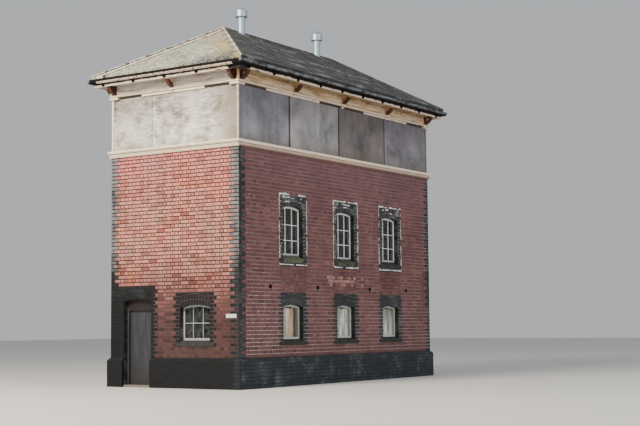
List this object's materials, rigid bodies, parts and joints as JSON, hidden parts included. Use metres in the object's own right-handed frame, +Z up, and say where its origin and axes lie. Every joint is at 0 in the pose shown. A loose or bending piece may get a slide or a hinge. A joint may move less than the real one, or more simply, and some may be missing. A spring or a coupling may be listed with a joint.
{
  "type": "railway signal box",
  "caption": "Railway signal box with two brick storeys, arched windows, a boarded-up timber operating storey, a hipped slate roof and a hinged door.",
  "frame": {"origin": "on the ground under the middle of the building, at the centre of the base", "axes": "+Z up; X along the track-side wall, the door end at -X; -Y towards the track, so the picture's camera stands at -X -Y"},
  "size_m": [8.92, 4.38, 8.8295],
  "materials": {
    "red_brick": "matte",
    "blue_brick": "matte",
    "floor_stone": "matte",
    "roof_slate": "matte",
    "ridge_tile": "matte",
    "window_paint": "satin",
    "cream_paint": "satin",
    "ochre_paint": "matte",
    "maroon_paint": "satin",
    "grey_door_paint": "satin",
    "dark_timber": "matte",
    "floor_boards": "matte",
    "weathered_board": "matte",
    "tan_board": "matte",
    "window_glass": "gloss",
    "gutter_iron": "satin",
    "hinge_iron": "matte",
    "galvanised_steel": "matte",
    "sheet_lead": "matte"
  },
  "bodies": {
    "building": {"front_plinth": "blue_brick", "back_plinth": "blue_brick", "far_end_plinth": "blue_brick", "door_end_plinth": "blue_brick", "front_wall": "red_brick", "back_wall": "red_brick", "far_end_wall": "red_brick", "door_end_wall": "red_brick", "door_pier": "red_brick", "over_door_wall": "red_brick", "window_arches": "blue_brick", "door_arch": "blue_brick", "window_sills": "blue_brick", "window_frames": "window_paint", "window_panes": "window_glass", "window_boards": "tan_board", "ground_floor": "floor_stone", "middle_floor": "floor_boards", "operating_floor": "floor_boards", "door_step": "floor_stone", "door_posts": "grey_door_paint", "door_head": "maroon_paint", "transom_board": "maroon_paint", "hinge_pins": "hinge_iron", "string_course": "cream_paint", "corner_beads": "cream_paint", "studs": "dark_timber", "front_sheets": "weathered_board", "back_sheets": "weathered_board", "door_end_sheets": "weathered_board", "far_end_sheets": "weathered_board", "wall_heads": "dark_timber", "friezes": "ochre_paint", "mouldings": "cream_paint", "corner_blocks": "cream_paint", "soffits": "ochre_paint", "fascias": "cream_paint", "eaves_brackets": "maroon_paint", "gutters": "gutter_iron", "gutter_brackets": "gutter_iron", "front_slope": "roof_slate", "back_slope": "roof_slate", "door_end_slope": "roof_slate", "far_end_slope": "roof_slate", "hip_tiles": "ridge_tile", "ridge_tiles": "ridge_tile", "ventilator_saddles": "sheet_lead", "ventilators": "galvanised_steel"},
    "door_leaf": {"door": "grey_door_paint"}
  },
  "joints": [
    {"name": "door_hinge", "type": "hinge", "parent": "building", "child": "door_leaf", "pos_m": [-3.842, 1.366, 0.86], "axis": [0, 0, 1], "range_deg": [0, 90]}
  ]
}
